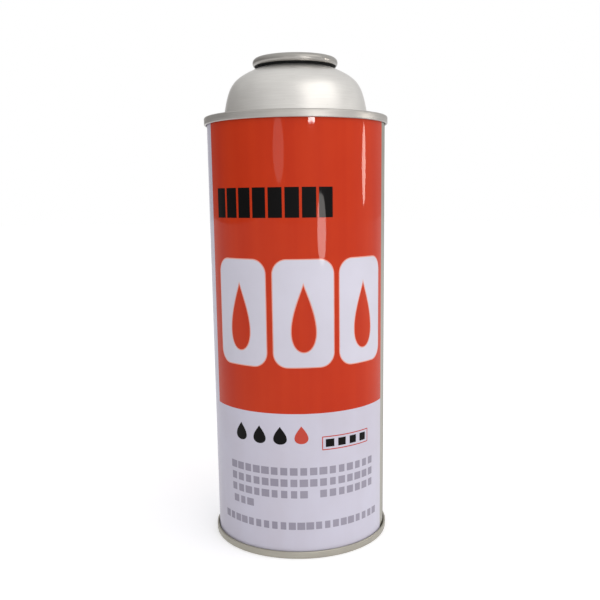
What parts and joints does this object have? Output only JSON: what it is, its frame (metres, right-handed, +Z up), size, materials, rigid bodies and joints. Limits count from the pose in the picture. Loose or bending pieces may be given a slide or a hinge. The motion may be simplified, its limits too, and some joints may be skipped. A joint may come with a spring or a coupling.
{
  "type": "fuel canister",
  "caption": "Slim tinplate can of pressurised fuel with a domed top, rolled seams, red and white printed sides and a one-inch push valve in its mouth.",
  "frame": {"origin": "centre of the ring that the can stands on", "axes": "+Z up along the can's axis; the middle of the red print faces -Y"},
  "size_m": [0.0672, 0.0672, 0.1796],
  "materials": {
    "printed_tinplate": "glossy red and white print on tinplate, bare at the dome, the seams and the weld strip",
    "tinplate": "bright tinplate",
    "spring_steel": "bright drawn wire",
    "sealing_rubber": "matt",
    "valve_plastic": "satin natural white"
  },
  "bodies": {
    "canister": {"can": "printed_tinplate", "valve_cup": "tinplate", "cup_gasket": "sealing_rubber", "stem_seal": "sealing_rubber", "valve_housing": "valve_plastic", "valve_spring": "spring_steel"},
    "stem": {"valve_stem": "valve_plastic"}
  },
  "joints": [
    {"name": "stem_press", "type": "slide", "parent": "canister", "child": "stem", "axis": [0, 0, -1], "range_m": [0, 0.002], "stiffness_N_per_m": 1000, "springref_m": -0.003, "deforming": ["valve_spring"]}
  ]
}
